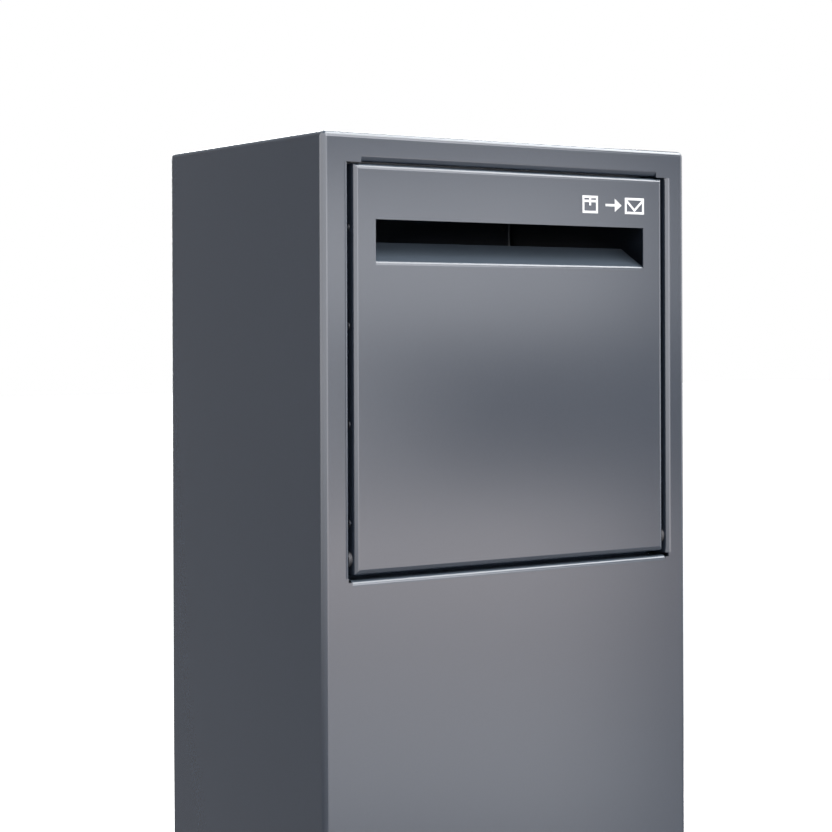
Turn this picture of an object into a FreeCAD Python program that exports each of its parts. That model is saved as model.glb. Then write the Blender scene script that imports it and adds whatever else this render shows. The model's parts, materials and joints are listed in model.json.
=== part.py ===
import FreeCAD, Part
import Sketcher
import math
import os

# A free-standing sheet-metal parcel box: a folded and welded casing, a tilting
# parcel hopper in the upper front, and a locked collection door in the back.
# Millimetres. +Z is up, the front faces -Y, the origin is the middle of the base.

doc = FreeCAD.newDocument("ParcelBox")
sheet = doc.addObject("Spreadsheet::Sheet", "dim")

driving = [
    # casing
    ("caseWidth", 400.0, "outside width"),
    ("caseDepth", 272.0, "outside depth"),
    ("caseHeight", 1200.0, "outside height"),
    ("wall", 2.0, "casing sheet"),
    ("fold", 5.0, "outside radius of the casing's folds"),
    ("rearReturn", 22.0, "width of the casing's rear returns"),
    # front opening
    ("frontShift", 1.9, "how far the front opening and its door sit right of the casing's middle"),
    ("openHalf", 175.4, "half width of the front opening"),
    ("openFold", 4.8, "outside radius of the opening's folds"),
    ("openTop", 1175.6, "underside of the opening's top flange"),
    ("openBottom", 822.3, "top of the opening's bottom flange"),
    ("flangeDepth", 20.0, "depth of an opening's flanges"),
    ("notchReach", 12.0, "bend relief beside each end of the top flange"),
    ("webDrop", 1.0, "how far the sheet beside the top flange hangs below it"),
    ("webRise", 1.4, "how far the sheet beside the bottom flange ends below it"),
    ("cornerRelief", 2.0, "bend relief at the other corners"),
    # parcel door
    ("doorHalf", 171.0, "half width of the parcel door"),
    ("doorTop", 1173.7, "top of the parcel door"),
    ("doorBottom", 826.6, "bottom of the parcel door"),
    ("doorSheet", 1.5, "sheet of the door and its hopper"),
    ("doorReturn", 18.0, "depth of the door's returns"),
    ("doorFold", 4.5, "outside radius of the door's folds"),
    ("lipFold", 4.5, "outside radius of the slot lip's bend"),
    ("slotLeft", -147.1, "left end of the letter slot"),
    ("slotRight", 149.3, "right end of the letter slot"),
    ("slotTop", 1127.0, "top of the letter slot"),
    ("slotBottom", 1088.0, "where the slot's lower lip starts to bend"),
    ("lipBend", 60.0, "angle through which the lip is bent inwards"),
    ("lipLength", 34.0, "flat length of the lip"),
    # hopper and its pivots
    ("pivotY", -126.0, "pivot axis of the parcel door"),
    ("pivotZ", 840.0, "pivot axis of the parcel door"),
    ("openAngle", 60.0, "how far the parcel door tilts out"),
    ("hopperRadius", 222.0, "radius of the cheeks' rear edge about the pivot"),
    ("floorAngle", 70.0, "slope of the hopper floor below level, door shut"),
    ("floorLength", 205.0, "length of the sloping hopper floor"),
    ("cheekTopAngle", 40.0, "where the cheeks' round edge ends, above level"),
    ("cheekTop", 1140.0, "top of the cheeks behind the door"),
    ("cheekFront", -131.0, "front edge of the cheeks"),
    ("floorFlange", 14.0, "height of the hopper floor's side flanges"),
    ("shoulder", 4.0, "radius of a pivot pin's shoulder"),
    ("stud", 3.0, "radius of a pivot pin's thread"),
    ("runGap", 0.05, "radial running clearance"),
    ("bushWall", 1.9, "wall of a nylon bush"),
    ("collarPlay", 0.4, "play between a bush's collar and the fixed sheet"),
    ("headRadius", 7.5, "radius of a pivot pin's head"),
    ("headHeight", 3.5, "height of a pivot pin's head"),
    ("sleeveReach", 7.7, "how far a bush's sleeve reaches past its collar"),
    ("nutHeight", 5.0, "height of a pivot nut"),
    ("nutFlats", 10.0, "pivot nut across its flats"),
    ("rivet", 2.0, "radius of a rivet's shank"),
    ("rivetHead", 3.5, "radius of a rivet's head"),
    ("rivetRise", 1.2, "height of a rivet's head"),
    # stops
    ("stopInner", 135.0, "inner end of an open stop, from the pivot"),
    ("stopOuter", 160.0, "outer end of an open stop, from the pivot"),
    ("stopSheet", 2.0, "sheet of the stops"),
    ("stopReach", 186.0, "how far an open stop reaches sideways"),
    ("bufferThick", 4.0, "thickness of the rubber buffers"),
    ("restGap", 0.3, "gap left at a stop"),
    # back and rear door
    ("panelEdge", 194.5, "half width of the back panel"),
    ("panelTop", 1194.0, "top of the back panel"),
    ("wayHalf", 160.0, "half width of the rear doorway"),
    ("wayBottom", 130.0, "bottom of the rear doorway"),
    ("wayTop", 640.0, "top of the rear doorway"),
    ("wayFold", 4.0, "outside radius of the rear folds"),
    ("rearGap", 3.0, "gap round the rear door"),
    ("hingeGap", 4.0, "gap on the rear door's hinge side"),
    ("rearPivotX", 145.0, "pivot axis of the rear door"),
    ("rearPivotY", 124.0, "pivot axis of the rear door"),
    ("hatHeight", 10.0, "height of the rear door's stiffener"),
    ("hatZ", 290.0, "middle of the rear door's stiffener"),
    # lock
    ("lockX", -130.0, "axis of the cam lock"),
    ("lockZ", 400.0, "axis of the cam lock"),
    ("lockBarrel", 9.0, "radius of the lock's barrel"),
    ("lockFace", 12.0, "radius of the lock's flange"),
    ("plugRadius", 6.0, "radius of the lock's plug"),
    ("camLength", 42.0, "reach of the cam from the lock's axis"),
    ("camWidth", 16.0, "width of the cam"),
    ("camThick", 2.5, "thickness of the cam"),
    ("camBack", 109.0, "inner face of the cam"),
    # base and bin
    ("baseThick", 4.0, "base plate"),
    ("anchorX", 300.0, "anchor holes, side to side"),
    ("anchorY", 170.0, "anchor holes, front to back"),
    ("anchorHole", 6.0, "radius of an anchor hole"),
    ("trayTop", 34.0, "top of the bin's floor tray"),
    ("trayHalfX", 190.0, "half width of the tray"),
    ("trayHalfY", 112.0, "half depth of the tray"),
    ("matThick", 3.0, "rubber floor mat"),
    ("guardY", 100.0, "front edge of the rear guard"),
    ("guardLow", 812.0, "bottom of the rear guard"),
    ("guardBend", 850.0, "where the rear guard bends"),
    ("guardTop", 885.0, "top of the rear guard"),
    # printed symbols on the door
    ("inkThick", 0.15, "thickness of the printed symbols"),
    ("inkLeft", 77.2, "left end of the symbols"),
    ("inkBottom", 1139.0, "bottom of the symbols"),
    ("inkHeight", 16.0, "height of the symbols"),
    ("inkLine", 2.2, "line width of the symbols"),
    ("inkStep", 27.0, "spacing of the symbols"),
]
for row, (alias, value, note) in enumerate(driving, start=1):
    sheet.set(f"A{row}", alias)
    sheet.set(f"B{row}", str(value))
    sheet.setAlias(f"B{row}", alias)
    sheet.set(f"C{row}", note)
doc.recompute()

front = "(-dim.caseDepth / 2)"
back = "(dim.caseDepth / 2)"
sideX = "(dim.caseWidth / 2)"
panelFace = f"({back} - dim.wall)"
turnTo = {
    "x": FreeCAD.Rotation(FreeCAD.Vector(0, 1, 0), 90),
    "y": FreeCAD.Rotation(FreeCAD.Vector(1, 0, 0), -90),
    "z": FreeCAD.Rotation(),
}
nodes = []


def value(alias):
    return float(sheet.get(alias))


def number(expression):
    return float(sheet.evalExpression(expression))


def node(item, label):
    """Name a finished sub-part and keep it for the export."""
    item.Label = label
    nodes.append(item)
    return item


def block(name, x, y, z):
    """A box between (low, high) pairs of expressions."""
    box = doc.addObject("Part::Box", name)
    for size, place, (low, high) in (("Length", "x", x), ("Width", "y", y), ("Height", "z", z)):
        box.setExpression(size, f"({high}) - ({low})")
        box.setExpression(f".Placement.Base.{place}", f"{low}")
    return box


def place(item, along, centre, start):
    """Stand a round item on its axis: centre gives the two other coordinates in X, Y, Z order."""
    item.Placement = FreeCAD.Placement(FreeCAD.Vector(), turnTo[along])
    others = [letter for letter in "xyz" if letter != along]
    item.setExpression(f".Placement.Base.{along}", f"{start}")
    for letter, expression in zip(others, centre):
        item.setExpression(f".Placement.Base.{letter}", f"{expression}")
    return item


def rod(name, along, centre, radius, span):
    low, high = span
    cylinder = doc.addObject("Part::Cylinder", name)
    cylinder.setExpression("Radius", f"{radius}")
    cylinder.setExpression("Height", f"({high}) - ({low})")
    return place(cylinder, along, centre, low)


def hexBar(name, along, centre, flats, span):
    low, high = span
    prism = doc.addObject("Part::Prism", name)
    prism.Polygon = 6
    prism.setExpression("Circumradius", f"{flats} / 2 / cos(30)")
    prism.setExpression("Height", f"({high}) - ({low})")
    return place(prism, along, centre, low)


def fused(name, parts):
    joined = doc.addObject("Part::MultiFuse", name)
    joined.Shapes = parts
    joined.Refine = True
    return joined


def cutFrom(name, base, tools):
    tool = tools[0] if len(tools) == 1 else fused(name + "_tools", tools)
    result = doc.addObject("Part::Cut", name)
    result.Base = base
    result.Tool = tool
    result.Refine = True
    return result


def group(name, parts):
    bundle = doc.addObject("Part::Compound", name)
    bundle.Links = parts
    return bundle


def mirrored(name, source):
    """The same piece on the other side of the parcel door's middle plane."""
    copy = doc.addObject("Part::Mirroring", name)
    copy.Source = source
    copy.Normal = FreeCAD.Vector(1, 0, 0)
    copy.setExpression(".Base.x", "dim.frontShift")
    return copy


def rounded(name, source, radius, wanted):
    """Round the edges of source that wanted() picks."""
    doc.recompute()
    fillet = doc.addObject("Part::Fillet", name)
    fillet.Base = source
    size = value(radius) if isinstance(radius, str) else radius
    fillet.Edges = [(i, size, size) for i, edge in enumerate(source.Shape.Edges, start=1) if wanted(edge)]
    return fillet


def runs(edge, along):
    """True where an edge is parallel to an axis."""
    first, last = edge.Vertexes[0].Point, edge.Vertexes[-1].Point
    return all(abs(getattr(first, c) - getattr(last, c)) < 0.001 for c in "xyz" if c != along)


def lies(edge, along, at):
    """True where a whole edge has one coordinate."""
    return all(abs(getattr(vertex.Point, along) - at) < 0.001 for vertex in edge.Vertexes)


def originPlane(body, role):
    return next(feature for feature in body.Origin.OriginFeatures if feature.Role == role)


def profile(name, plane, outline, span, arcs=None):
    """A body padded from an outline of expression pairs.

    arcs gives {segment: (radius, turn)}, where turn is 1 for an anticlockwise arc and -1 for a clockwise one.
    """
    low, high = span
    arcs = arcs or {}
    corners = [FreeCAD.Vector(number(u), number(v), 0) for u, v in outline]
    body = doc.addObject("PartDesign::Body", name)
    sketch = body.newObject("Sketcher::SketchObject", name + "_sketch")
    sketch.AttachmentSupport = [(originPlane(body, plane), "")]
    sketch.MapMode = "FlatFace"
    lift = f"-({high})" if plane == "XZ_Plane" else f"{low}"
    sketch.setExpression("AttachmentOffset.Base.z", lift)
    ends = []
    for i, (here, there) in enumerate(zip(corners, corners[1:] + corners[:1])):
        if i not in arcs:
            sketch.addGeometry(Part.LineSegment(here, there), False)
            ends.append((1, 2))
            continue
        radius, turn = arcs[i]
        size = number(radius)
        chord = there - here
        left = FreeCAD.Vector(-chord.y, chord.x, 0).normalize()
        reach = math.sqrt(size ** 2 - (chord.Length / 2) ** 2)
        centre = (here + there) / 2 + left * reach * turn
        first, last = (here, there) if turn > 0 else (there, here)
        begin = math.atan2(first.y - centre.y, first.x - centre.x)
        finish = math.atan2(last.y - centre.y, last.x - centre.x)
        circle = Part.Circle(centre, FreeCAD.Vector(0, 0, 1), size)
        sketch.addGeometry(Part.ArcOfCircle(circle, begin, finish + (2 * math.pi if finish < begin else 0)),
                           False)
        ends.append((1, 2) if turn > 0 else (2, 1))
    for i, pair in enumerate(outline):
        following = (i + 1) % len(outline)
        sketch.addConstraint(Sketcher.Constraint("Coincident", i, ends[i][1], following,
                                                 ends[following][0]))
        for kind, expression in zip(("DistanceX", "DistanceY"), pair):
            rule = Sketcher.Constraint(kind, -1, 1, i, ends[i][0], number(expression))
            sketch.setExpression(f"Constraints[{sketch.addConstraint(rule)}]", f"{expression}")
    for i, (radius, turn) in arcs.items():
        rule = Sketcher.Constraint("Radius", i, number(radius))
        sketch.setExpression(f"Constraints[{sketch.addConstraint(rule)}]", f"{radius}")
    pad = body.newObject("PartDesign::Pad", name + "_pad")
    pad.Profile = sketch
    pad.setExpression("Length", f"({high}) - ({low})")
    body.Tip = pad
    return body


openRight = "(dim.frontShift + dim.openHalf)"
openLeft = "(dim.frontShift - dim.openHalf)"


def bothWays(reach):
    return (f"dim.frontShift - {reach}", f"dim.frontShift + {reach}")


def oneWay(side, near, far):
    """Between two distances from the opening's middle; side is 1 for right and -1 for left."""
    ends = (f"dim.frontShift + ({side}) * {near}", f"dim.frontShift + ({side}) * {far}")
    return ends if side > 0 else ends[::-1]


def flange(name, plane, edge, away, face, inward, radius, depth, skin, span):
    """One folded edge of an opening, as an L with a round heel.

    edge is the opening's edge and away (1 or -1) points from the opening into the sheet;
    face is the sheet's outer face and inward (1 or -1) points into the box.
    """
    def at(across, deep):
        pair = (f"{edge} + ({away}) * ({across})", f"{face} + ({inward}) * ({deep})")
        return pair if plane == "XY_Plane" else (pair[1], pair[0])

    outline = [
        at(radius, 0), at(0, radius), at(0, depth), at(skin, depth), at(skin, radius), at(radius, skin),
    ]
    turn = away * inward * (-1 if plane == "XY_Plane" else 1)
    arcs = {0: (radius, turn), 4: (f"{radius} - {skin}", -turn)}
    return profile(name, plane, outline, span, arcs)


def makeCasing():
    outer = block("casing_outer", (f"-{sideX}", sideX), (front, back), ("0", "dim.caseHeight"))
    top = value("caseHeight")

    def outside(edge):
        return runs(edge, "z") or lies(edge, "z", top)

    outer = rounded("casing_outer_round", outer, "fold", outside)
    inner = block(
        "casing_inner",
        (f"-{sideX} + dim.wall", f"{sideX} - dim.wall"),
        (f"{front} + dim.wall", f"{back} - dim.wall"),
        ("-dim.wall", "dim.caseHeight - dim.wall"),
    )
    inner = rounded(
        "casing_inner_round", inner, value("fold") - value("wall"),
        lambda edge: runs(edge, "z") or lies(edge, "z", top - value("wall")),
    )
    rear = block(
        "casing_rear",
        (f"-{sideX} + dim.rearReturn", f"{sideX} - dim.rearReturn"),
        (f"{back} - 2 * dim.wall", f"{back} + dim.wall"),
        ("dim.rearReturn", "dim.caseHeight - dim.rearReturn"),
    )
    window = block(
        "casing_window",
        (f"{openLeft} - dim.openFold", f"{openRight} + dim.openFold"),
        (f"{front} - dim.wall", f"{front} + 2 * dim.wall"),
        ("dim.openBottom - dim.openFold", "dim.openTop + dim.openFold"),
    )
    rivets = [rod(f"casing_rivet_{i}", "y", spot, "dim.rivet + dim.runGap",
                  (f"{back} - 2 * dim.wall", back))
              for i, spot in enumerate(panelRivets)]
    shell = cutFrom("casing_shell", outer, [inner, rear, window] + rivets)

    topReach = "(dim.openHalf - dim.notchReach)"
    lowReach = "(dim.openHalf - dim.cornerRelief)"
    rim = ("dim.openFold", "dim.flangeDepth", "dim.wall")
    strips = [
        flange("casing_top_flange", "YZ_Plane", "dim.openTop", 1, front, 1, *rim, bothWays(topReach)),
        flange("casing_bottom_flange", "YZ_Plane", "dim.openBottom", -1, front, 1, *rim,
               bothWays(lowReach)),
    ]
    webLow = "(dim.openTop - dim.webDrop)"
    upright = ("dim.openBottom + dim.cornerRelief", webLow)
    strips.append(flange("casing_right_flange", "XY_Plane", openRight, 1, front, 1, *rim, upright))
    strips.append(flange("casing_left_flange", "XY_Plane", openLeft, -1, front, 1, *rim, upright))
    for side, sign in (("right", 1), ("left", -1)):
        span = (f"{front}", f"{front} + dim.wall")
        outerX = "(dim.openHalf + dim.openFold)"
        spots = {
            "upper": (topReach, webLow, "dim.openTop + dim.openFold"),
            "lower": (lowReach, "dim.openBottom - dim.openFold", "dim.openBottom - dim.webRise"),
        }
        for level, (innerX, low, high) in spots.items():
            strips.append(block(f"casing_{level}_{side}_web", oneWay(sign, innerX, outerX), span,
                                (low, high)))
        heel = "(dim.openHalf + dim.wall)"
        strips.append(block(f"casing_lower_{side}_heel", oneWay(sign, heel, outerX), span,
                            ("dim.openBottom - dim.webRise", "dim.openBottom + dim.cornerRelief")))
    whole = fused("casing_whole", [shell] + strips)
    studs = rod("casing_stud_holes", "x", ("dim.pivotY", "dim.pivotZ"), "dim.stud + 2 * dim.runGap",
                (f"{openLeft} - 2 * dim.wall", f"{openRight} + 2 * dim.wall"))
    return node(cutFrom("casing_drilled", whole, [studs]), "outer_casing")


def spotsAlong(start, end, count):
    """Evenly spaced places between two expressions, ends included."""
    return [f"({start}) + (({end}) - ({start})) * {i} / {count - 1}" for i in range(count)]


returnMiddle = f"({sideX} - dim.rearReturn / 2 - dim.wall)"
panelRivets = []
for height in spotsAlong("60", "dim.caseHeight - 60", 6):
    panelRivets += [(f"-{returnMiddle}", height), (returnMiddle, height)]
for across in spotsAlong("-100", "100", 3):
    panelRivets.append((across, "dim.caseHeight - dim.rearReturn / 2 - 2"))


def makeBack():
    plate = block("panel_plate", ("-dim.panelEdge", "dim.panelEdge"),
                  (f"{panelFace} - dim.wall", panelFace),
                  ("dim.baseThick + 1", "dim.panelTop"))
    way = block("panel_way", ("-dim.wayHalf - dim.wayFold", "dim.wayHalf + dim.wayFold"),
                (f"{panelFace} - 2 * dim.wall", back),
                ("dim.wayBottom - dim.wayFold", "dim.wayTop + dim.wayFold"))
    holes = [rod(f"panel_rivet_{i}", "y", spot, "dim.rivet + dim.runGap", (f"{back} - 3 * dim.wall", back))
             for i, spot in enumerate(panelRivets)]
    holes += [rod(f"panel_guard_rivet_{i}", "y", spot, "dim.rivet + dim.runGap",
                  (f"{back} - 3 * dim.wall", back))
              for i, spot in enumerate(guardRivets)]
    sheetPlate = cutFrom("panel_sheet", plate, [way] + holes)
    rim = ("dim.wayFold", "dim.flangeDepth", "dim.wall")
    across = ("-dim.wayHalf", "dim.wayHalf")
    upright = ("dim.wayBottom + dim.cornerRelief", "dim.wayTop - dim.cornerRelief")
    strips = [
        flange("panel_top_flange", "YZ_Plane", "dim.wayTop", 1, panelFace, -1, *rim, across),
        flange("panel_bottom_flange", "YZ_Plane", "dim.wayBottom", -1, panelFace, -1, *rim, across),
        flange("panel_right_flange", "XY_Plane", "dim.wayHalf", 1, panelFace, -1, *rim, upright),
        flange("panel_left_flange", "XY_Plane", "-dim.wayHalf", -1, panelFace, -1, *rim, upright),
    ]
    whole = fused("panel_whole", [sheetPlate] + strips)
    studs = rod("panel_stud_holes", "z", ("dim.rearPivotX", "dim.rearPivotY"), "dim.stud + 2 * dim.runGap",
                ("dim.wayBottom - 2 * dim.wall", "dim.wayTop + 2 * dim.wall"))
    return node(cutFrom("panel_drilled", whole, [studs]), "back_panel")


guardRivets = [(across, "dim.guardTop - 12") for across in spotsAlong("-160", "160", 4)]


def makePanelRivets():
    """Flush rivets, with their formed heads inside the box."""
    parts = []
    for i, spot in enumerate(panelRivets):
        shank = rod(f"panel_rivet_shank_{i}", "y", spot, "dim.rivet", (f"{back} - 2 * dim.wall", back))
        head = rod(f"panel_rivet_head_{i}", "y", spot, "dim.rivetHead",
                   (f"{back} - 2 * dim.wall - dim.rivetRise", f"{back} - 2 * dim.wall"))
        parts.append(fused(f"panel_rivet_whole_{i}", [shank, head]))
    return node(group("panel_rivet_group", parts), "back_panel_rivets")


def makeGuard():
    inner = f"({panelFace} - dim.wall)"
    skin = "dim.doorSheet"
    outline = [
        (inner, "dim.guardTop"),
        (f"{inner} - {skin}", "dim.guardTop"),
        (f"{inner} - {skin}", "dim.guardBend"),
        ("dim.guardY", "dim.guardLow"),
        (f"dim.guardY + {skin}", f"dim.guardLow - {skin} / 2"),
        (inner, f"dim.guardBend - {skin} / 2"),
    ]
    guard = profile("guard_sheet", "YZ_Plane", outline, ("-dim.panelEdge + 4", "dim.panelEdge - 4"))
    holes = [rod(f"guard_hole_{i}", "y", spot, "dim.rivet + dim.runGap", (f"{inner} - 5", inner))
             for i, spot in enumerate(guardRivets)]
    node(cutFrom("guard_drilled", guard, holes), "rear_guard")
    parts = []
    for i, spot in enumerate(guardRivets):
        shank = rod(f"guard_shank_{i}", "y", spot, "dim.rivet", (f"{inner} - {skin}", panelFace))
        ends = [
            rod(f"guard_tail_{i}", "y", spot, "dim.rivetHead",
                (f"{inner} - {skin} - dim.rivetRise", f"{inner} - {skin}")),
            rod(f"guard_head_{i}", "y", spot, "dim.rivetHead", (panelFace, f"{panelFace} + dim.rivetRise")),
        ]
        parts.append(fused(f"guard_rivet_{i}", [shank] + ends))
    return node(group("guard_rivet_group", parts), "rear_guard_rivets")


def makeBase():
    plate = block("base_blank", (f"-{sideX} + dim.wall + 0.5", f"{sideX} - dim.wall - 0.5"),
                  (f"{front} + dim.wall + 0.5", f"{back} - dim.wall - 0.5"), ("0", "dim.baseThick"))
    plate = rounded("base_round", plate, 4.0, lambda edge: runs(edge, "z"))
    holes = [rod(f"base_hole_{i}{j}", "z", (f"{i} * dim.anchorX / 2", f"{j} * dim.anchorY / 2"),
                 "dim.anchorHole",
                 ("-1", "dim.baseThick + 1")) for i in (-1, 1) for j in (-1, 1)]
    node(cutFrom("base_drilled", plate, holes), "base_plate")

    top = block("tray_outer", ("-dim.trayHalfX", "dim.trayHalfX"), ("-dim.trayHalfY", "dim.trayHalfY"),
                ("dim.baseThick", "dim.trayTop"))
    hollow = block("tray_inner", ("-dim.trayHalfX + dim.wall", "dim.trayHalfX - dim.wall"),
                   ("-dim.trayHalfY + dim.wall", "dim.trayHalfY - dim.wall"),
                   ("0", "dim.trayTop - dim.wall"))
    top = rounded("tray_round", top, "wall",
                  lambda edge: lies(edge, "z", value("trayTop")) or runs(edge, "z"))
    node(cutFrom("tray_folded", top, [hollow]), "bin_floor_tray")

    mat = block("mat_blank", ("-dim.trayHalfX + 5", "dim.trayHalfX - 5"),
                ("-dim.trayHalfY + 5", "dim.trayHalfY - 5"),
                ("dim.trayTop", "dim.trayTop + dim.matThick"))
    return node(rounded("mat_round", mat, 8.0, lambda edge: runs(edge, "z")), "bin_floor_mat")


doorFace = f"({front} + dim.doorSheet)"
pivot = ("dim.pivotY", "dim.pivotZ")
doorRight = "(dim.frontShift + dim.doorHalf)"
doorLeft = "(dim.frontShift - dim.doorHalf)"
cheekOuter = f"({doorRight} - dim.doorSheet)"
cheekInner = f"({doorRight} - 2 * dim.doorSheet)"
cheekInnerLeft = f"({doorLeft} + 2 * dim.doorSheet)"
throughDoor = (f"{doorLeft} - 1", f"{doorRight} + 1")
floorStartY = "(dim.pivotY + 11.5)"
floorStartZ = "(dim.doorBottom + dim.doorSheet)"


def pan(name, x, y, z, skin, radius, faceAt, inward):
    """A folded pan: a face with four returns, open towards the inside of the box."""
    (x0, x1), (y0, y1), (z0, z1) = x, y, z
    inside = (f"{y0} + {skin}", f"{y1} + 1") if inward > 0 else (f"{y0} - 1", f"{y1} - {skin}")
    outer = block(name + "_outer", x, y, z)
    inner = block(name + "_inner", (f"{x0} + {skin}", f"{x1} - {skin}"), inside,
                  (f"{z0} + {skin}", f"{z1} - {skin}"))
    bend = value(radius)
    thick = number(skin)
    outer = rounded(name + "_outer_round", outer, bend, lambda edge: lies(edge, "y", faceAt))
    inner = rounded(name + "_inner_round", inner, bend - thick,
                    lambda edge: lies(edge, "y", faceAt + inward * thick))
    return cutFrom(name + "_folded", outer, [inner])


def doorRivetSpots():
    """Rivets through the door's side returns and the cheeks, then down the hopper floor's side flanges."""
    spots = [(f"{front} + dim.doorReturn - 8", height)
             for height in spotsAlong("870", "dim.cheekTop - 20", 4)]
    middle = "(dim.doorSheet + dim.floorFlange / 2)"
    for along in spotsAlong("25", "dim.floorLength - 20", 4):
        spots.append((
            f"{floorStartY} + ({along}) * cos(dim.floorAngle) + {middle} * sin(dim.floorAngle)",
            f"{floorStartZ} - ({along}) * sin(dim.floorAngle) + {middle} * cos(dim.floorAngle)",
        ))
    return spots


def makeDoor():
    blank = pan("door", (doorLeft, doorRight), (front, f"{front} + dim.doorReturn"),
                ("dim.doorBottom", "dim.doorTop"), "dim.doorSheet", "doorFold", -value("caseDepth") / 2, 1)
    slot = block("door_slot", ("dim.slotLeft", "dim.slotRight"), (f"{front} - 1", f"{doorFace} + 1"),
                 ("dim.slotBottom", "dim.slotTop"))
    sideHoles = [rod("door_bush_holes", "x", pivot, "dim.shoulder + dim.runGap + dim.bushWall + dim.runGap",
                     throughDoor)]
    sideHoles += [rod(f"door_rivet_{i}", "x", spot, "dim.rivet + dim.runGap", throughDoor)
                  for i, spot in enumerate(doorRivetSpots()[:4])]
    drilled = cutFrom("door_drilled", blank, [slot] + sideHoles)

    turned = "dim.lipBend"
    heelY = f"({front} + dim.lipFold)"
    inside = "(dim.lipFold - dim.doorSheet)"

    def arcPoint(radius):
        return (f"{heelY} - {radius} * cos({turned})", f"dim.slotBottom + {radius} * sin({turned})")

    def tipPoint(radius):
        y, z = arcPoint(radius)
        return (f"{y} + dim.lipLength * sin({turned})", f"{z} + dim.lipLength * cos({turned})")

    outline = [
        (front, "dim.slotBottom"), arcPoint("dim.lipFold"), tipPoint("dim.lipFold"),
        tipPoint(inside), arcPoint(inside), (doorFace, "dim.slotBottom"),
    ]
    arcs = {0: ("dim.lipFold", -1), 4: (inside, 1)}
    lip = profile("door_lip", "YZ_Plane", outline, ("dim.slotLeft", "dim.slotRight"), arcs)
    return node(fused("door_whole", [drilled, lip]), "door_panel")


def makeHopper():
    radius = "dim.hopperRadius"
    foot = "(-dim.floorAngle)"
    outline = [
        ("dim.cheekFront", "dim.doorBottom + 4.7"),
        (f"{floorStartY} - 1", "dim.doorBottom + 4.7"),
        (f"dim.pivotY + {radius} * cos({foot})", f"dim.pivotZ + {radius} * sin({foot})"),
        (f"dim.pivotY + {radius} * cos(dim.cheekTopAngle)",
         f"dim.pivotZ + {radius} * sin(dim.cheekTopAngle)"),
        ("dim.cheekFront + 12", "dim.cheekTop"),
        ("dim.cheekFront", "dim.cheekTop"),
    ]
    plate = profile("cheek_plate", "YZ_Plane", outline, (cheekInner, cheekOuter), {2: (radius, 1)})
    holes = [rod("cheek_bush_hole", "x", pivot, "dim.shoulder + dim.runGap + dim.bushWall + dim.runGap",
                 ("100", "200"))]
    holes += [rod(f"cheek_rivet_{i}", "x", spot, "dim.rivet + dim.runGap", ("100", "200"))
              for i, spot in enumerate(doorRivetSpots())]
    right = node(cutFrom("cheek_drilled", plate, holes), "hopper_cheek_right")
    node(mirrored("cheek_mirrored", right), "hopper_cheek_left")

    skin = "dim.doorSheet"
    slope = "dim.floorAngle"
    along = (f"dim.floorLength * cos({slope})", f"dim.floorLength * sin({slope})")
    across = (f"{skin} * sin({slope})", f"{skin} * cos({slope})")
    outline = [
        ("dim.cheekFront", floorStartZ),
        (floorStartY, floorStartZ),
        (f"{floorStartY} + {along[0]}", f"{floorStartZ} - {along[1]}"),
        (f"{floorStartY} + {along[0]} + {across[0]}", f"{floorStartZ} - {along[1]} + {across[1]}"),
        (f"{floorStartY} + {skin} * tan({slope} / 2)", f"{floorStartZ} + {skin}"),
        ("dim.cheekFront", f"{floorStartZ} + {skin}"),
    ]
    plate = profile("floor_plate", "YZ_Plane", outline, (cheekInnerLeft, cheekInner))

    def onSlope(run, rise):
        return (f"{floorStartY} + ({run}) * cos({slope}) + ({rise}) * sin({slope})",
                f"{floorStartZ} - ({run}) * sin({slope}) + ({rise}) * cos({slope})")

    side = [onSlope("14", "0"), onSlope("dim.floorLength", "0"),
            onSlope("dim.floorLength", f"{skin} + dim.floorFlange / 2"),
            onSlope("dim.floorLength - 6", f"{skin} + dim.floorFlange"),
            onSlope("20", f"{skin} + dim.floorFlange")]
    flanges = [profile("floor_flange_right", "YZ_Plane", side, (f"{cheekInner} - {skin}", cheekInner)),
               profile("floor_flange_left", "YZ_Plane", side,
                       (cheekInnerLeft, f"{cheekInnerLeft} + {skin}"))]
    blank = fused("floor_folded", [plate] + flanges)
    holes = [rod(f"floor_rivet_{i}", "x", spot, "dim.rivet + dim.runGap", ("-200", "200"))
             for i, spot in enumerate(doorRivetSpots()[4:])]
    node(cutFrom("floor_drilled", blank, holes), "hopper_floor")

    parts = []
    for i, spot in enumerate(doorRivetSpots()):
        outer = doorRight if i < 4 else cheekOuter
        inner = cheekInner if i < 4 else f"({cheekInner} - {skin})"
        shank = rod(f"hopper_shank_{i}", "x", spot, "dim.rivet", (inner, outer))
        ends = [rod(f"hopper_head_{i}", "x", spot, "dim.rivetHead", (outer, f"{outer} + dim.rivetRise")),
                rod(f"hopper_tail_{i}", "x", spot, "dim.rivetHead", (f"{inner} - dim.rivetRise", inner))]
        whole = fused(f"hopper_rivet_{i}", [shank] + ends)
        parts += [whole, mirrored(f"hopper_rivet_left_{i}", whole)]
    return node(group("hopper_rivet_group", parts), "hopper_rivets")


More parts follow.
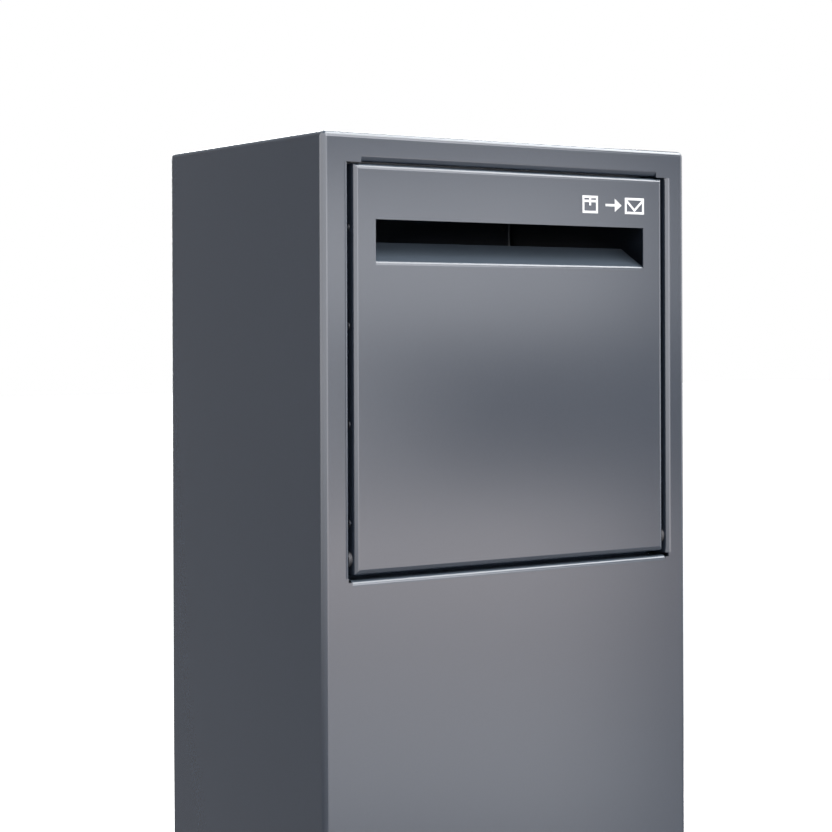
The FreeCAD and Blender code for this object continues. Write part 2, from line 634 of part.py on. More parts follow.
def makePivot(name, along, centre, edge, door, side):
    """A shoulder pin, its nut and its bush; side (1 or -1) points from the door to the fixed flange."""
    def span(low, high):
        ends = [f"{edge} + ({side}) * ({low})", f"{edge} + ({side}) * ({high})"]
        return tuple(ends if side > 0 else ends[::-1])

    gap = f"(({edge} - {door}) * {side})"
    bushInner = f"(-{gap} + 0.1 - dim.sleeveReach)"
    headFrom = f"({bushInner} - 0.4)"
    pin = fused(name + "_pin_solid", [
        rod(name + "_pin_head", along, centre, "dim.headRadius",
            span(f"{headFrom} - dim.headHeight", headFrom)),
        rod(name + "_pin_shoulder", along, centre, "dim.shoulder", span(headFrom, "0")),
        rod(name + "_pin_stud", along, centre, "dim.stud", span("0", "dim.wall + dim.nutHeight + 1.5")),
    ])
    socket = hexBar(name + "_pin_socket", along, centre, "4",
                    span(f"{headFrom} - dim.headHeight - 1", f"{headFrom} - 0.8"))
    node(cutFrom(name + "_pin_cut", pin, [socket]), name + "_pin")
    nut = hexBar(name + "_nut_blank", along, centre, "dim.nutFlats",
                 span("dim.wall", "dim.wall + dim.nutHeight"))
    bore = rod(name + "_nut_bore", along, centre, "dim.stud + dim.runGap", span("0", "20"))
    node(cutFrom(name + "_nut_cut", nut, [bore]), name + "_nut")
    bush = fused(name + "_bush_solid", [
        rod(name + "_bush_collar", along, centre, "dim.shoulder * 1.7",
            span(f"-{gap} + 0.1", "-dim.collarPlay")),
        rod(name + "_bush_sleeve", along, centre, "dim.shoulder + dim.runGap + dim.bushWall",
            span(bushInner, f"-{gap} + 0.1")),
    ])
    hole = rod(name + "_bush_bore", along, centre, "dim.shoulder + dim.runGap", span("-30", "10"))
    node(cutFrom(name + "_bush_cut", bush, [hole]), name + "_bush")


def makeStops():
    """Angles on the cheeks that meet the casing's side flanges when the door is open."""
    def openPoint(out, behind):
        return (f"dim.pivotY + ({out}) * cos(90 - dim.openAngle) + ({behind}) * cos(dim.openAngle)",
                f"dim.pivotZ + ({out}) * sin(90 - dim.openAngle) - ({behind}) * sin(dim.openAngle)")

    meets = f"({front} + dim.flangeDepth - dim.pivotY + dim.restGap)"
    plate = f"({meets} + dim.bufferThick)"

    def strip(name, near, far, span):
        outline = [openPoint("dim.stopInner", far), openPoint("dim.stopOuter", far),
                   openPoint("dim.stopOuter", near), openPoint("dim.stopInner", near)]
        return profile(name, "YZ_Plane", outline, span)

    foot = strip("stop_foot", plate, f"{plate} + 22", (cheekOuter, f"{cheekOuter} + dim.stopSheet"))
    arm = strip("stop_arm", plate, f"{plate} + dim.stopSheet", (cheekOuter, "dim.stopReach"))
    right = node(fused("stop_angle", [foot, arm]), "open_stop_right")
    node(mirrored("stop_angle_mirrored", right), "open_stop_left")
    pad = node(strip("stop_pad", meets, plate, (f"{openRight} + 0.5", "dim.stopReach")),
               "open_buffer_right")
    node(mirrored("stop_pad_mirrored", pad), "open_buffer_left")

    flangeEnd = f"({front} + dim.flangeDepth)"
    above = "(dim.openTop + dim.wall)"
    outline = [
        (f"{front} + 8", above),
        (f"{flangeEnd} + dim.wall", above),
        (f"{flangeEnd} + dim.wall", "dim.openTop - 22"),
        (f"{flangeEnd} + 2 * dim.wall", "dim.openTop - 22"),
        (f"{flangeEnd} + 2 * dim.wall", f"{above} + dim.wall"),
        (f"{front} + 8", f"{above} + dim.wall"),
    ]
    stopEnd = "(dim.openHalf - dim.notchReach)"
    node(profile("shut_stop", "YZ_Plane", outline, bothWays(stopEnd)), "closing_stop")
    rubber = block("shut_buffer", ("-25", "25"),
                   (f"{front} + dim.doorReturn + 0.2", f"{flangeEnd} + dim.wall"),
                   ("dim.openTop - 20", "dim.openTop - 9"))
    return node(rubber, "closing_buffer")


def makeSymbols():
    """A parcel, an arrow and a letter, printed in one row on the door."""
    line, tall, step = "dim.inkLine", "dim.inkHeight", "dim.inkStep"
    low = "dim.inkBottom"
    high = f"({low} + {tall})"
    middle = f"({low} + {tall} / 2)"
    ink = (f"{front} - dim.inkThick", front)

    def frameOf(name, x0, wide, bottom, top):
        left, right = f"({x0})", f"({x0} + {wide})"
        outer = block(name + "_outer", (left, right), ink, (bottom, top))
        hollow = block(name + "_hollow", (f"{left} + {line}", f"{right} - {line}"),
                       (f"{front} - 1", f"{front} + 1"),
                       (f"{bottom} + {line}", f"{top} - {line}"))
        return cutFrom(name + "_ring", outer, [hollow])

    start = "dim.inkLeft"
    parcel = frameOf("ink_parcel", start, "18", low, high)
    lid = block("ink_lid", (start, f"{start} + 18"), ink, (f"{high} - 6", f"{high} - 6 + {line}"))
    tape = block("ink_tape", (f"{start} + 9 - {line} / 2", f"{start} + 9 + {line} / 2"), ink,
                 (f"{high} - 9", high))

    second = f"({start} + {step})"
    shaft = block("ink_shaft", (second, f"{second} + 12"), ink,
                  (f"{middle} - {line} / 2", f"{middle} + {line} / 2"))
    head = [(f"{second} + 11", f"{middle} - 6"), (f"{second} + 19", middle),
            (f"{second} + 11", f"{middle} + 6")]
    arrow = profile("ink_arrow", "XZ_Plane", head, ink)

    third = f"({start} + 2 * {step} - 4)"
    letter = frameOf("ink_letter", third, "23", f"{low} + 0.5", f"{high} - 0.5")
    flap = [
        (f"{third} + 1", f"{high} - 1"), (f"{third} + 11.5", f"{middle} - 2.5"),
        (f"{third} + 22", f"{high} - 1"),
        (f"{third} + 22", f"{high} - 1 - {line} * 1.3"),
        (f"{third} + 11.5", f"{middle} - 2.5 - {line} * 1.3"),
        (f"{third} + 1", f"{high} - 1 - {line} * 1.3"),
    ]
    fold = profile("ink_flap", "XZ_Plane", flap, ink)
    parts = [fused("ink_parcel_whole", [parcel, lid, tape]), fused("ink_arrow_whole", [shaft, arrow]),
             fused("ink_letter_whole", [letter, fold])]
    return node(group("ink_group", parts), "door_symbols")


def makeRearDoor():
    low, high = "(dim.wayBottom + dim.rearGap)", "(dim.wayTop - dim.rearGap)"
    blank = pan("rear", ("-dim.wayHalf + dim.rearGap", "dim.wayHalf - dim.hingeGap"),
                (f"{panelFace} - dim.doorReturn", panelFace), (low, high), "dim.doorSheet", "wayFold",
                number(panelFace), -1)
    lockHole = rod("rear_lock_hole", "y", ("dim.lockX", "dim.lockZ"), "dim.lockBarrel + dim.runGap",
                   (f"{panelFace} - 10", f"{panelFace} + 10"))
    bushHoles = rod("rear_bush_holes", "z", ("dim.rearPivotX", "dim.rearPivotY"),
                    "dim.shoulder + dim.runGap + dim.bushWall + dim.runGap",
                    ("dim.wayBottom", "dim.wayTop"))
    node(cutFrom("rear_drilled", blank, [lockHole, bushHoles]), "rear_door_panel")

    skin = f"({panelFace} - dim.doorSheet)"
    top = f"({skin} - dim.hatHeight)"
    sheetThick = "1.2"
    outline = [
        (skin, "dim.hatZ - 28"), (skin, "dim.hatZ + 28"), (f"{skin} - {sheetThick}", "dim.hatZ + 28"),
        (f"{skin} - {sheetThick}", "dim.hatZ + 16.2"), (top, "dim.hatZ + 11.2"), (top, "dim.hatZ - 11.2"),
        (f"{skin} - {sheetThick}", "dim.hatZ - 16.2"), (f"{skin} - {sheetThick}", "dim.hatZ - 28"),
    ]
    hat = profile("rear_hat", "YZ_Plane", outline, ("-dim.wayHalf + 12", "dim.rearPivotX - 16"))
    hollow = [
        (skin, "dim.hatZ - 15"), (skin, "dim.hatZ + 15"),
        (f"{top} + {sheetThick}", "dim.hatZ + 10"), (f"{top} + {sheetThick}", "dim.hatZ - 10"),
    ]
    core = profile("rear_hat_core", "YZ_Plane", hollow, ("-dim.wayHalf", "dim.rearPivotX"))
    return node(cutFrom("rear_hat_folded", hat, [core]), "rear_door_stiffener")


def makeLock():
    centre = ("dim.lockX", "dim.lockZ")
    inner = "(dim.camBack + dim.camThick)"
    housing = fused("lock_housing", [
        rod("lock_flange", "y", centre, "dim.lockFace", (panelFace, f"{panelFace} + 1.6")),
        rod("lock_barrel", "y", centre, "dim.lockBarrel", (f"{inner} + 0.5", panelFace)),
    ])
    bore = rod("lock_bore", "y", centre, "dim.plugRadius + dim.runGap", ("100", back))
    node(cutFrom("lock_bored", housing, [bore]), "lock_body")

    skin = f"({panelFace} - dim.doorSheet)"
    nut = hexBar("lock_nut_blank", "y", centre, "22", (f"{skin} - 3.5", skin))
    hole = rod("lock_nut_bore", "y", centre, "dim.lockBarrel + dim.runGap", ("100", back))
    node(cutFrom("lock_nut_cut", nut, [hole]), "lock_nut")

    half = 3.5
    plug = rod("plug_barrel", "y", centre, "dim.plugRadius", (inner, f"{panelFace} + 1.4"))
    tail = block("plug_tail", (f"dim.lockX - {half}", f"dim.lockX + {half}"), ("dim.camBack", inner),
                 (f"dim.lockZ - {half}", f"dim.lockZ + {half}"))
    keyway = block("plug_keyway", ("dim.lockX - 0.9", "dim.lockX + 0.9"), (f"{panelFace} - 6", back),
                   ("dim.lockZ - 3.8", "dim.lockZ + 3.8"))
    thread = rod("plug_thread", "y", centre, "dim.rivet + dim.runGap",
                 ("dim.camBack - 1", "dim.camBack + 9"))
    node(cutFrom("plug_cut", fused("plug_solid", [plug, tail]), [keyway, thread]), "lock_plug")

    outline = [
        ("dim.lockX - dim.camWidth / 2", "dim.lockZ"),
        ("dim.lockX - dim.camWidth / 2", "dim.lockZ - dim.camLength + 3"),
        ("dim.lockX - dim.camWidth / 2 + 3", "dim.lockZ - dim.camLength"),
        ("dim.lockX + dim.camWidth / 2 - 3", "dim.lockZ - dim.camLength"),
        ("dim.lockX + dim.camWidth / 2", "dim.lockZ - dim.camLength + 3"),
        ("dim.lockX + dim.camWidth / 2", "dim.lockZ"),
    ]
    arm = profile("cam_arm", "XZ_Plane", outline, ("dim.camBack", inner))
    heel = rod("cam_heel", "y", centre, "dim.camWidth / 2", ("dim.camBack", inner))
    square = block("cam_square", (f"dim.lockX - {half} - 0.05", f"dim.lockX + {half} + 0.05"),
                   ("100", "120"),
                   (f"dim.lockZ - {half} - 0.05", f"dim.lockZ + {half} + 0.05"))
    node(cutFrom("cam_cut", fused("cam_solid", [arm, heel]), [square]), "lock_cam")

    screw = fused("cam_screw_solid", [
        rod("cam_screw_head", "y", centre, "5.5", ("dim.camBack - 3", "dim.camBack")),
        rod("cam_screw_shank", "y", centre, "dim.rivet", ("dim.camBack", "dim.camBack + 7")),
    ])
    recess = hexBar("cam_screw_recess", "y", centre, "3", ("dim.camBack - 4", "dim.camBack - 1.2"))
    return node(cutFrom("cam_screw_cut", screw, [recess]), "lock_cam_screw")


makeCasing()
makeBack()
makePanelRivets()
makeGuard()
makeBase()
makeDoor()
makeHopper()
makePivot("pivot_right", "x", pivot, openRight, doorRight, 1)
makePivot("pivot_left", "x", pivot, openLeft, doorLeft, -1)
makeStops()
makeSymbols()
makeRearDoor()
rearPivot = ("dim.rearPivotX", "dim.rearPivotY")
makePivot("rear_pivot_upper", "z", rearPivot, "dim.wayTop", "(dim.wayTop - dim.rearGap)", 1)
makePivot("rear_pivot_lower", "z", rearPivot, "dim.wayBottom", "(dim.wayBottom + dim.rearGap)", -1)
makeLock()
doc.recompute()

for item in doc.Objects:
    if "Invalid" in item.State or "Error" in item.State:
        raise RuntimeError(f"{item.Label} failed: {item.State}")
for item in nodes:
    if item.Shape.isNull() or not item.Shape.isValid():
        raise RuntimeError(f"{item.Label} has no valid shape")

os.makedirs("parts", exist_ok=True)
for item in nodes:
    item.Shape.exportStep(f"parts/{item.Label}.step")
    print(f"{item.Label:24s} {len(item.Shape.Solids)} solids {item.Shape.Volume / 1000:9.2f} cm3")
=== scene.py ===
import json
import math
import bmesh
import bpy
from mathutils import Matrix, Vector


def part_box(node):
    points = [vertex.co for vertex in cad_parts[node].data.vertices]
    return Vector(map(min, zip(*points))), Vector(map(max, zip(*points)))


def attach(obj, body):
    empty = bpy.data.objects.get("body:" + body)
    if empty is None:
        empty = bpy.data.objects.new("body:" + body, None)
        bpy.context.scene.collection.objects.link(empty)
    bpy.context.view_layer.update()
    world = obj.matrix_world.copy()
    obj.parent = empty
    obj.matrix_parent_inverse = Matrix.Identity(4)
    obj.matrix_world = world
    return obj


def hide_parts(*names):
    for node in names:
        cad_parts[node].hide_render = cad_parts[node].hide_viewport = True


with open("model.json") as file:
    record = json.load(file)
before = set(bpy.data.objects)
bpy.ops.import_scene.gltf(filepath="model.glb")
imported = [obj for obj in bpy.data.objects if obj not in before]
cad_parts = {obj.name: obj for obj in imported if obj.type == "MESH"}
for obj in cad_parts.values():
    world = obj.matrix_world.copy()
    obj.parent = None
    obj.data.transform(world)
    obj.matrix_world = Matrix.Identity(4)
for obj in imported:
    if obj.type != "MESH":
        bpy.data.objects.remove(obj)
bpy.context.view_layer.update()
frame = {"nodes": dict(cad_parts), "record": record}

nodes = frame["nodes"]
print("frame loaded:", len(nodes), "nodes")


class Field:  # a socket that can be written into sums
    def __init__(self, tree, socket):
        self.tree = tree
        self.socket = socket

    def join(self, operation, *others):
        item = self.tree.nodes.new("ShaderNodeMath")
        item.operation = operation
        for slot, other in zip(item.inputs, (self, *others)):
            connect(self.tree, slot, other)
        return Field(self.tree, item.outputs[0])

    def __add__(self, other):
        return self.join("ADD", other)

    def __sub__(self, other):
        return self.join("SUBTRACT", other)

    def __mul__(self, other):
        return self.join("MULTIPLY", other)

    def __truediv__(self, other):
        return self.join("DIVIDE", other)

    def __pow__(self, other):
        return self.join("POWER", other)

    def __neg__(self):
        return self.join("MULTIPLY", -1)

    def __radd__(self, other):
        return self.join("ADD", other)

    def __rmul__(self, other):
        return self.join("MULTIPLY", other)

    def __rsub__(self, other):
        return (-self).join("ADD", other)

    def sine(self):
        return self.join("SINE")

    def clamped(self):
        item = self.tree.nodes.new("ShaderNodeClamp")
        connect(self.tree, item.inputs["Value"], self)
        return Field(self.tree, item.outputs[0])


def connect(tree, slot, value):
    if isinstance(value, Field):
        tree.links.new(value.socket, slot)
    else:
        slot.default_value = value


class Recipe:  # one node tree, of a material or the world
    def __init__(self, owner):
        owner.use_nodes = True
        self.owner = owner
        self.tree = owner.node_tree
        self.tree.nodes.clear()

    def node(self, kind, settings=None, inputs=None, output=0):
        item = self.tree.nodes.new("ShaderNode" + kind)
        for name, value in (settings or {}).items():
            if name == "stops":
                fillRamp(item.color_ramp, value)
            else:
                setattr(item, name, value)
        for name, value in (inputs or {}).items():
            connect(self.tree, item.inputs[name], value)
        return Field(self.tree, item.outputs[output])

    def place(self):
        return self.node("TexCoord", output="Object")

    def axes(self, vector):
        item = self.tree.nodes.new("ShaderNodeSeparateXYZ")
        connect(self.tree, item.inputs[0], vector)
        return [Field(self.tree, out) for out in item.outputs]

    def noise(self, scale, detail=2.0, rough=0.5, vector=None, stretch=None):
        vector = vector or self.place()
        if stretch:
            vector = self.node("Mapping", inputs={"Vector": vector, "Scale": stretch})
        inputs = {"Vector": vector, "Scale": scale, "Detail": detail, "Roughness": rough}
        return self.node("TexNoise", inputs=inputs, output="Fac")

    def between(self, value, low, high):  # 0 below low, 1 above high, smooth in the middle
        settings = {"interpolation_type": "SMOOTHSTEP"}
        return self.node("MapRange", settings, {"Value": value, "From Min": low, "From Max": high})

    def blend(self, mask, first, second):
        inputs = {0: mask, 6: first, 7: second}
        return self.node("Mix", {"data_type": "RGBA"}, inputs, output=2)

    def bump(self, height, depth, strength=1.0, normal=None):
        inputs = {"Height": height, "Distance": depth, "Strength": strength}
        if normal:
            inputs["Normal"] = normal
        return self.node("Bump", inputs=inputs)

    def finish(self, kind, inputs, target="Surface"):
        shader = self.node(kind, inputs=inputs)
        last = self.tree.nodes.new("ShaderNodeOutput" + ("World" if kind == "Background" else "Material"))
        self.tree.links.new(shader.socket, last.inputs[target])
        return self.owner


def fillRamp(ramp, stops):
    while len(ramp.elements) < len(stops):
        ramp.elements.new(0.5)
    for element, (position, colour) in zip(ramp.elements, stops):
        element.position = position
        element.color = colour


def rgba(red, green, blue):
    return (red, green, blue, 1.0)


coat = {
    "colour": rgba(0.030, 0.0395, 0.056),
    "dust": rgba(0.038, 0.048, 0.065),
    "settled": rgba(0.100, 0.125, 0.155),    # painted light: what faces up is painted lighter, a painted highlight from above
    "roughness": 0.13,
    "specular": 0.6,
}


def powderCoat(name, colour, dust, roughness):
    recipe = Recipe(bpy.data.materials.new(name))
    cloud = recipe.noise(3.0, 3.0, 0.55)
    speck = recipe.noise(420.0, 2.0, 0.6)
    peel = recipe.noise(900.0, 2.0, 0.5)
    tone = recipe.blend((cloud * 0.5 + speck * 0.5 - 0.42) * 0.9, colour, dust)
    grain = recipe.bump(peel, 0.000004, 0.5)
    upward = recipe.axes(recipe.node("TexCoord", output="Normal"))[2]
    # painted light: faces that point up are painted lighter, patchy with the cloud noise, standing in for
    # light from above
    paintedTopMask = recipe.between(upward, 0.15, 0.75) * (0.75 + cloud * 0.4)
    return recipe.finish("BsdfPrincipled", {
        "Base Color": recipe.blend(paintedTopMask.clamped(), tone, coat["settled"]),
        "Roughness": roughness + (cloud - 0.5) * 0.06 + (speck - 0.5) * 0.05,
        "Specular IOR Level": coat["specular"],
        "Normal": grain,
    })


def brushedMetal(name, colour, roughness, stretch):
    recipe = Recipe(bpy.data.materials.new(name))
    lines = recipe.noise(350.0, 3.0, 0.6, stretch=stretch)
    stain = recipe.noise(60.0, 3.0)
    dark = rgba(*[part * 0.72 for part in colour[:3]])
    return recipe.finish("BsdfPrincipled", {
        "Base Color": recipe.blend((stain - 0.35).clamped() * 1.6, colour, dark),
        "Metallic": 1.0,
        "Roughness": roughness + (lines - 0.5) * 0.2,
        "Normal": recipe.bump(lines, 0.00003, 0.4),
    })


def softPlastic(name, colour, roughness, grainSize, depth):
    recipe = Recipe(bpy.data.materials.new(name))
    grain = recipe.noise(grainSize, 3.0, 0.6)
    worn = rgba(*[min(1.0, part * 1.25 + 0.004) for part in colour[:3]])
    return recipe.finish("BsdfPrincipled", {
        "Base Color": recipe.blend(grain, colour, worn),
        "Roughness": roughness + (grain - 0.5) * 0.12,
        "Normal": recipe.bump(grain, depth, 0.5),
    })


materials = {
    "powder_coat": powderCoat("satinCoat", coat["colour"], coat["dust"], coat["roughness"]),
    "zinc_steel": brushedMetal("zincPlate", rgba(0.52, 0.53, 0.53), 0.34, (1.0, 1.0, 8.0)),
    "aluminium_rivet": brushedMetal("blackenedAlloy", rgba(0.045, 0.047, 0.052), 0.5, (1.0, 1.0, 1.0)),
    "nylon": softPlastic("blackNylon", rgba(0.014, 0.014, 0.016), 0.6, 600.0, 0.00002),
    "rubber": softPlastic("blackRubber", rgba(0.018, 0.018, 0.019), 0.75, 900.0, 0.00004),
    "lock_chrome": brushedMetal("lockChrome", rgba(0.72, 0.73, 0.74), 0.12, (1.0, 1.0, 1.0)),
    "white_print": softPlastic("whiteInk", rgba(0.86, 0.87, 0.87), 0.5, 1200.0, 0.00001),
}

slotOf = {row["node"]: row["material_slot"] for row in frame["record"]["subparts"]}
for name, item in nodes.items():
    item.data.materials.clear()
    item.data.materials.append(materials[slotOf[name]])
print("materials made")

bodies = frame["record"]["behaviour"]["bodies"]
bodyOf = {node: body for body, members in bodies.items() for node in members}


def selectOnly(*items):
    bpy.ops.object.select_all(action="DESELECT")
    for item in items:
        item.select_set(True)
    bpy.context.view_layer.objects.active = items[0]


def applied(piece, kind, settings):
    modifier = piece.modifiers.new(kind.lower(), kind)
    for name, value in settings.items():
        setattr(modifier, name, value)
    selectOnly(piece)
    bpy.ops.object.modifier_apply(modifier=modifier.name)


def standIn(piece, nodeName):  # piece takes the place, finish and motion of a CAD node
    piece.name = nodeName + "_finished"
    piece.data.materials.clear()
    piece.data.materials.append(materials[slotOf[nodeName]])
    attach(piece, bodyOf[nodeName])
    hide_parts(nodeName)


def meshCopy(nodeName):
    copy = bpy.data.objects.new(nodeName + "_copy", nodes[nodeName].data.copy())
    bpy.context.scene.collection.objects.link(copy)
    selectOnly(copy)
    bpy.ops.mesh.customdata_custom_splitnormals_clear()
    bpy.ops.object.mode_set(mode="EDIT")
    bpy.ops.mesh.select_all(action="SELECT")
    bpy.ops.mesh.remove_doubles(threshold=0.000005)
    bpy.ops.mesh.dissolve_limited(angle_limit=math.radians(0.5))
    bpy.ops.object.mode_set(mode="OBJECT")
    return copy


def softened(nodeName, width):  # the same piece with its cut edges broken
    piece = meshCopy(nodeName)
    applied(piece, "BEVEL", {"width": width, "segments": 2, "limit_method": "ANGLE",
                             "angle_limit": math.radians(50), "harden_normals": False})
    selectOnly(piece)
    bpy.ops.object.shade_smooth_by_angle(angle=math.radians(38))
    applied(piece, "WEIGHTED_NORMAL", {"keep_sharp": True, "weight": 80})
    standIn(piece, nodeName)


edges = {                 # how far the cut edges are broken
    "sheet": 0.0003,
    "bar": 0.0005,
    "sheetPieces": ["closing_stop", "open_stop_right", "open_stop_left", "rear_door_stiffener", "rear_guard",
                    "lock_cam", "hopper_floor"],
    "barPieces": ["pivot_right_nut", "pivot_left_nut", "rear_pivot_upper_nut", "rear_pivot_lower_nut",
                  "pivot_right_pin", "pivot_left_pin", "rear_pivot_upper_pin", "rear_pivot_lower_pin",
                  "lock_body", "lock_nut", "lock_plug", "lock_cam_screw", "pivot_right_bush",
                  "pivot_left_bush", "open_buffer_right", "open_buffer_left", "closing_buffer"],
}
for name in edges["sheetPieces"]:
    softened(name, edges["sheet"])
for name in edges["barPieces"]:
    softened(name, edges["bar"])
print("edges broken")

rivet = {
    "sides": 28,
    "rounding": 0.45,     # share of a head's radius that is rounded off
    "steps": 4,
}


def looseParts(nodeName):
    copy = meshCopy(nodeName)
    bpy.ops.object.mode_set(mode="EDIT")
    bpy.ops.mesh.separate(type="LOOSE")
    bpy.ops.object.mode_set(mode="OBJECT")
    return list(bpy.context.selected_objects)


def boxOf(item):
    corners = [item.matrix_world @ Vector(corner) for corner in item.bound_box]
    return (Vector([min(corner[i] for corner in corners) for i in range(3)]),
            Vector([max(corner[i] for corner in corners) for i in range(3)]))


def domedRivets(nodeName, axis):  # each rivet's formed head and tail, on one axis
    parts = looseParts(nodeName)
    low, high = boxOf(parts[0])
    across = [i for i in range(3) if i != axis][0]
    radius = (high[across] - low[across]) / 2
    length = high[axis] - low[axis]
    turn = (0.0, math.pi / 2, 0.0) if axis == 0 else (math.pi / 2, 0.0, 0.0)
    bpy.ops.object.select_all(action="DESELECT")
    bpy.ops.mesh.primitive_cylinder_add(vertices=rivet["sides"], radius=radius, depth=length, rotation=turn)
    model = bpy.context.object
    bpy.ops.object.transform_apply(location=True, rotation=True, scale=True)
    bpy.ops.object.mode_set(mode="EDIT")
    bpy.ops.mesh.select_all(action="DESELECT")
    shape = bmesh.from_edit_mesh(model.data)
    for edge in shape.edges:
        ends = [corner.co[axis] for corner in edge.verts]
        edge.select = abs(ends[0] - ends[1]) < 0.00001
    bmesh.update_edit_mesh(model.data)
    bpy.ops.mesh.bevel(offset=radius * rivet["rounding"], segments=rivet["steps"], profile=0.5)
    bpy.ops.object.mode_set(mode="OBJECT")
    copies = []
    for part in parts:
        low, high = boxOf(part)
        copy = bpy.data.objects.new("rivet", model.data.copy())
        copy.location = (low + high) / 2
        bpy.context.scene.collection.objects.link(copy)
        copies.append(copy)
    for item in parts + [model]:
        bpy.data.objects.remove(item)
    selectOnly(*copies)
    bpy.ops.object.join()
    piece = bpy.context.object
    bpy.ops.object.transform_apply(location=True, rotation=True, scale=True)
    bpy.ops.object.shade_smooth_by_angle(angle=math.radians(40))
    standIn(piece, nodeName)


for name, axis in (("hopper_rivets", 0), ("back_panel_rivets", 1), ("rear_guard_rivets", 1)):
    domedRivets(name, axis)
print("rivets set")

mat = {
    "ribs": 31,
    "ribRise": 0.0011,
    "ribEdge": 0.00035,
}


def ribbedMat():
    low, high = [Vector(corner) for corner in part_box("bin_floor_mat")]
    size, middle = high - low, (high + low) / 2
    strips = mat["ribs"] * 2 - 1
    bpy.ops.object.select_all(action="DESELECT")
    bpy.ops.mesh.primitive_grid_add(x_subdivisions=strips, y_subdivisions=1, size=1.0)
    piece = bpy.context.object
    piece.scale = (size.x, size.y, 1.0)
    piece.location = (middle.x, middle.y, low.z)
    bpy.ops.object.transform_apply(location=True, rotation=True, scale=True)
    bpy.ops.object.mode_set(mode="EDIT")
    bpy.ops.mesh.select_all(action="SELECT")
    bpy.ops.mesh.extrude_region_move(TRANSFORM_OT_translate={"value": (0, 0, size.z - mat["ribRise"])})
    bpy.ops.mesh.select_all(action="DESELECT")
    shape = bmesh.from_edit_mesh(piece.data)
    base = high.z - mat["ribRise"]
    for face in shape.faces:
        strip = int((face.calc_center_median().x - low.x) / size.x * strips)
        face.select = abs(face.calc_center_median().z - base) < 0.00001 and strip % 2 == 0
    bmesh.update_edit_mesh(piece.data)
    bpy.ops.mesh.extrude_region_move(TRANSFORM_OT_translate={"value": (0, 0, mat["ribRise"])})
    bpy.ops.mesh.select_all(action="SELECT")
    bpy.ops.mesh.normals_make_consistent(inside=False)
    bpy.ops.object.mode_set(mode="OBJECT")
    applied(piece, "BEVEL", {"width": mat["ribEdge"], "segments": 2, "limit_method": "ANGLE",
                             "angle_limit": math.radians(50)})
    selectOnly(piece)
    bpy.ops.object.shade_smooth_by_angle(angle=math.radians(38))
    standIn(piece, "bin_floor_mat")


ribbedMat()
print("mat laid")


studio = {
    "floorSize": 60.0,
    "floorGlow": 0.6,
    "lens": 89.2,
    "shift": -0.0956,
    "eye": (-1.1036, -1.5951, 1.0303),
    "pitch": -0.09,
    "roll": 0.202,
    "yaw": -34.354,
}


def makeCamera():
    data = bpy.data.cameras.new("camera")
    data.lens = studio["lens"]
    data.sensor_width = 36.0
    data.shift_y = studio["shift"]
    data.clip_start = 0.05
    data.clip_end = 200.0
    camera = bpy.data.objects.new("camera", data)
    camera.location = studio["eye"]
    turn = (90 + studio["pitch"], studio["roll"], studio["yaw"])
    camera.rotation_euler = [math.radians(angle) for angle in turn]
    bpy.context.scene.collection.objects.link(camera)
    bpy.context.scene.camera = camera


def makeFloor():
    bpy.ops.mesh.primitive_plane_add(size=studio["floorSize"], location=(0, 0, -0.0002))
    floor = bpy.context.object
    floor.name = "studio_floor"
    recipe = Recipe(bpy.data.materials.new("paleFloor"))
    mottle = recipe.noise(1.5, 3.0)
    seen = recipe.node("LightPath", output="Is Camera Ray")
    floor.data.materials.append(recipe.finish("BsdfPrincipled", {
        "Base Color": recipe.blend(mottle, rgba(0.70, 0.70, 0.70), rgba(0.74, 0.74, 0.74)),
        "Roughness": 0.7,
        "Emission Color": recipe.blend(seen, rgba(0.0, 0.0, 0.0), rgba(1.0, 1.0, 1.0)),
        "Emission Strength": studio["floorGlow"],
    }))
    floor.visible_glossy = False


sky = {
    "around": 0.46,       # even light from every side
    "front": 0.40,        # a little more of it from the front
    "softBoxes": [        # azimuth (from, to, softness), height as a sine (from, to, softness), brightness
        ((0.05, 0.71, 0.05), (-0.25, -0.08, 0.04), 2.6),      # long low strip, front right
        ((0.05, 0.71, 0.05), (-0.12, -0.08, 0.02), 1.7),      # its brighter upper edge
        ((0.05, 0.71, 0.05), (0.0, 0.08, 0.015), 4.0),        # long strip at eye level
        ((0.05, 0.59, 0.05), (-0.07, -0.01, 0.02), 2.4),      # card that joins the two on the left
    ],
    "gloss": [            # boxes that only the polish of the paint shows
        ((-2.35, 0.30, 0.20), (-0.10, 0.85, 0.12), 4.0),      # left wall
        ((0.95, 1.70, 0.12), (-0.10, 0.85, 0.12), 2.6),       # right wall
        ((0.05, 0.72, 0.05), (0.17, 1.50, 0.08), 7.5),        # ceiling
    ],
    "white": rgba(1.0, 1.0, 1.0),
    "cool": rgba(0.99, 0.995, 1.04),
    "warm": rgba(1.06, 0.985, 0.99),
}


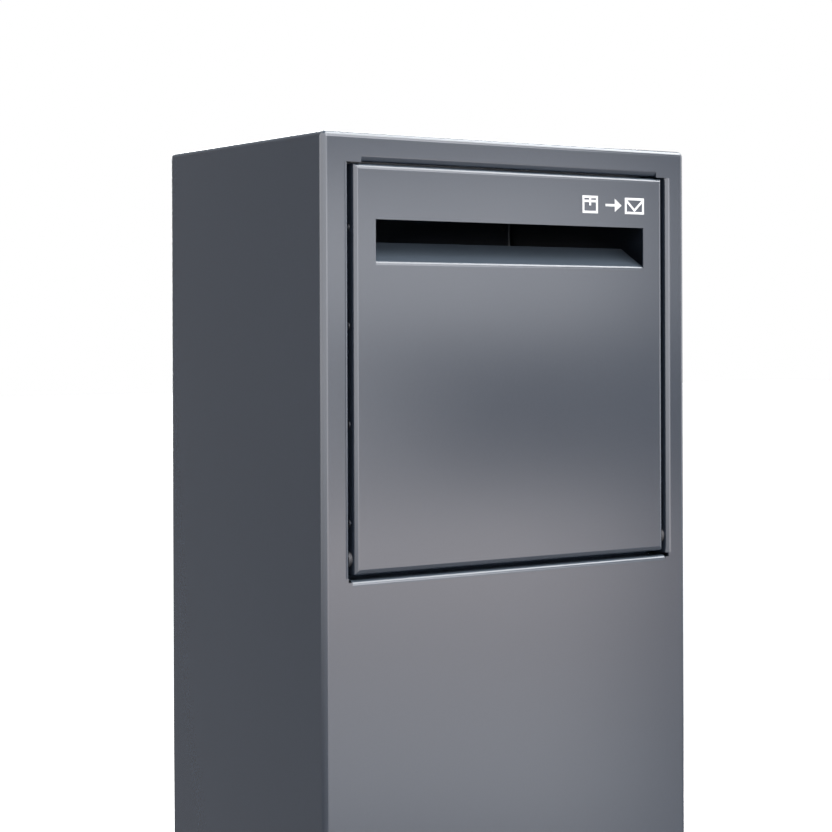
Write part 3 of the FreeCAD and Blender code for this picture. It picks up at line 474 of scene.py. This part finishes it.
def spanOf(recipe, value, low, high, soft):  # 1 between low and high, fading over soft at both ends
    rise = recipe.between(value, low - soft, low + soft)
    return rise * (1 - recipe.between(value, high - soft, high + soft))


def lit(recipe, azimuth, height, boxes):  # the sum of a list of soft boxes
    total = 0.0
    for across, upright, brightness in boxes:
        total = spanOf(recipe, azimuth, *across) * spanOf(recipe, height, *upright) * brightness + total
    return total


def makeWorld():
    world = bpy.data.worlds.new("studio")
    bpy.context.scene.world = world
    world.cycles.sampling_method = "NONE"
    recipe = Recipe(world)
    x, y, z = recipe.axes(recipe.node("TexCoord", output="Generated"))
    azimuth = x.join("ARCTAN2", -y)
    seen = recipe.node("LightPath", output="Is Camera Ray")
    soft = recipe.node("LightPath", output="Is Diffuse Ray")
    boxes = lit(recipe, azimuth, z, sky["softBoxes"]) + lit(recipe, azimuth, z, sky["gloss"]) * (1 - soft)
    level = boxes + recipe.between(-y, -0.4, 0.9) * sky["front"] + sky["around"]
    warm = spanOf(recipe, z, -0.17, -0.07, 0.05) * spanOf(recipe, azimuth, 0.0, 0.9, 0.1)
    tint = recipe.blend(warm * (1 - seen), recipe.blend(seen, sky["cool"], sky["white"]), sky["warm"])
    recipe.finish("Background", {"Color": tint, "Strength": level * (1 - seen) + seen})


lamps = {                 # place, aim, size and power
    "overhead": ((1.5, -0.6, 3.3), (0.0, 0.0, 0.6), (2.4, 2.0), 110.0),
    "behind": ((1.3, 2.4, 1.5), (0.0, 0.14, 0.6), (1.6, 1.8), 95.0),
}


def areaLight(name, at, aim, size, power):
    data = bpy.data.lights.new(name, "AREA")
    data.shape = "RECTANGLE"
    data.size, data.size_y = size
    data.energy = power
    lamp = bpy.data.objects.new(name, data)
    lamp.location = at
    lamp.rotation_mode = "QUATERNION"
    lamp.rotation_quaternion = (Vector(aim) - Vector(at)).to_track_quat("-Z", "Y")
    lamp.visible_camera = False
    bpy.context.scene.collection.objects.link(lamp)


makeCamera()
makeFloor()
makeWorld()
for name, setting in lamps.items():
    areaLight(name, *setting)
bpy.context.scene.view_settings.view_transform = "Standard"
print("studio ready")
